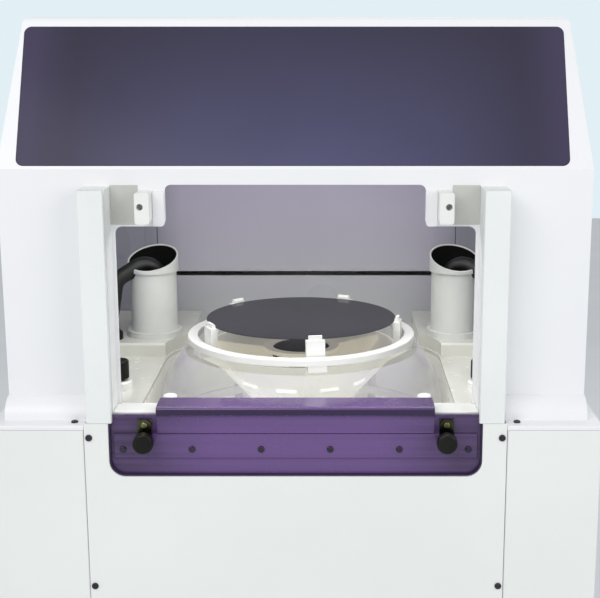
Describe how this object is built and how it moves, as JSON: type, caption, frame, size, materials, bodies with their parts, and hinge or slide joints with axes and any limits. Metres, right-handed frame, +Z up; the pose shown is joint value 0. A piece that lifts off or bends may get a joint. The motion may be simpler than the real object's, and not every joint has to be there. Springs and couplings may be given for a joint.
{
  "type": "spin coater",
  "caption": "Floor-standing wafer spin coater: white cabinet with slanted tinted hood, lifting purple sash, clear splash bell and edge-grip spinning chuck holding a wafer.",
  "frame": {"origin": "centre of the bounding box in plan, on the floor", "axes": "+Z up, the front with the loading opening faces -Y, +X to the viewer's right"},
  "size_m": [0.84, 0.82, 1.462],
  "materials": {
    "white_panel": "satin powder coat",
    "hood_white": "satin",
    "tinted_window": "tinted, glossy",
    "purple_sash": "tinted, glossy",
    "rail_plastic": "satin translucent",
    "liner_grey": "glossy",
    "cream_deck": "semi-gloss",
    "white_plastic": "satin",
    "clear_bell": "clear",
    "black_rubber": "satin",
    "black_plastic": "semi-gloss",
    "steel": "brushed",
    "grey_frame": "satin",
    "brass_screw": "polished",
    "silicon": "polished",
    "aluminium_part": "machined",
    "vane_cream": "satin"
  },
  "bodies": {
    "cabinet": {"leveling_feet": "steel", "base_tray": "steel", "welded_frame": "grey_frame", "front_centre_panel": "white_panel", "front_panel_screws": "steel", "front_side_panels": "white_panel", "lower_side_panels": "white_panel", "upper_side_panels": "hood_white", "lower_rear_panel": "white_panel", "upper_rear_panel": "white_panel", "upper_fascia": "hood_white", "ledge_screws": "steel", "hood_shell": "hood_white", "window_gasket": "black_rubber", "hood_window": "tinted_window", "sash_rails": "rail_plastic", "latch_blocks": "white_plastic", "opening_sill": "white_plastic", "chamber_deck": "cream_deck", "drain_pan": "cream_deck", "rear_platforms": "cream_deck", "chamber_side_liners": "liner_grey", "chamber_back_wall": "liner_grey", "exhaust_plenum": "steel", "exhaust_collar": "steel", "drain_pipe": "white_plastic", "gas_columns": "white_plastic", "gas_hoses": "black_rubber", "column_collars": "white_plastic", "hose_glands": "black_plastic", "deck_bosses": "white_plastic", "deck_knobs": "black_plastic", "pan_tie_rods": "steel", "retaining_nuts": "white_plastic", "spindle_housing": "aluminium_part", "spindle_bearings": "steel", "motor_can": "aluminium_part", "lift_cylinders": "aluminium_part", "control_box": "grey_frame"},
    "sash": {"sash_sheet": "purple_sash", "sash_stiffener": "purple_sash", "sash_lip": "purple_sash", "sash_screws": "steel", "latch_brackets": "steel", "latch_screws": "brass_screw"},
    "plunger_left": {"plunger_pin_left": "steel", "plunger_knob_left": "black_plastic"},
    "plunger_right": {"plunger_pin_right": "steel", "plunger_knob_right": "black_plastic"},
    "bowl": {"splash_bell": "clear_bell", "bell_base_ring": "white_plastic", "lift_rods": "steel"},
    "chuck": {"chuck_ring": "white_plastic", "chuck_posts": "white_plastic", "chuck_funnel": "white_plastic", "chuck_hub": "black_plastic", "chuck_vanes": "vane_cream", "wafer": "silicon", "spindle_shaft": "steel", "motor_rotor": "steel"}
  },
  "joints": [
    {"name": "sash_slide", "type": "slide", "parent": "cabinet", "child": "sash", "axis": [0, 0, 1], "range_m": [0, 0.317]},
    {"name": "plunger_left_pull", "type": "slide", "parent": "sash", "child": "plunger_left", "axis": [0, -1, 0], "range_m": [0, 0.008], "stiffness_N_per_m": 400, "springref_m": -0.006},
    {"name": "plunger_right_pull", "type": "slide", "parent": "sash", "child": "plunger_right", "axis": [0, -1, 0], "range_m": [0, 0.008], "stiffness_N_per_m": 400, "springref_m": -0.006},
    {"name": "bowl_lift", "type": "slide", "parent": "cabinet", "child": "bowl", "axis": [0, 0, 1], "range_m": [0, 0.06]},
    {"name": "chuck_spin", "type": "hinge", "parent": "cabinet", "child": "chuck", "pos_m": [0, -0.085, 0], "axis": [0, 0, 1], "continuous": true}
  ]
}
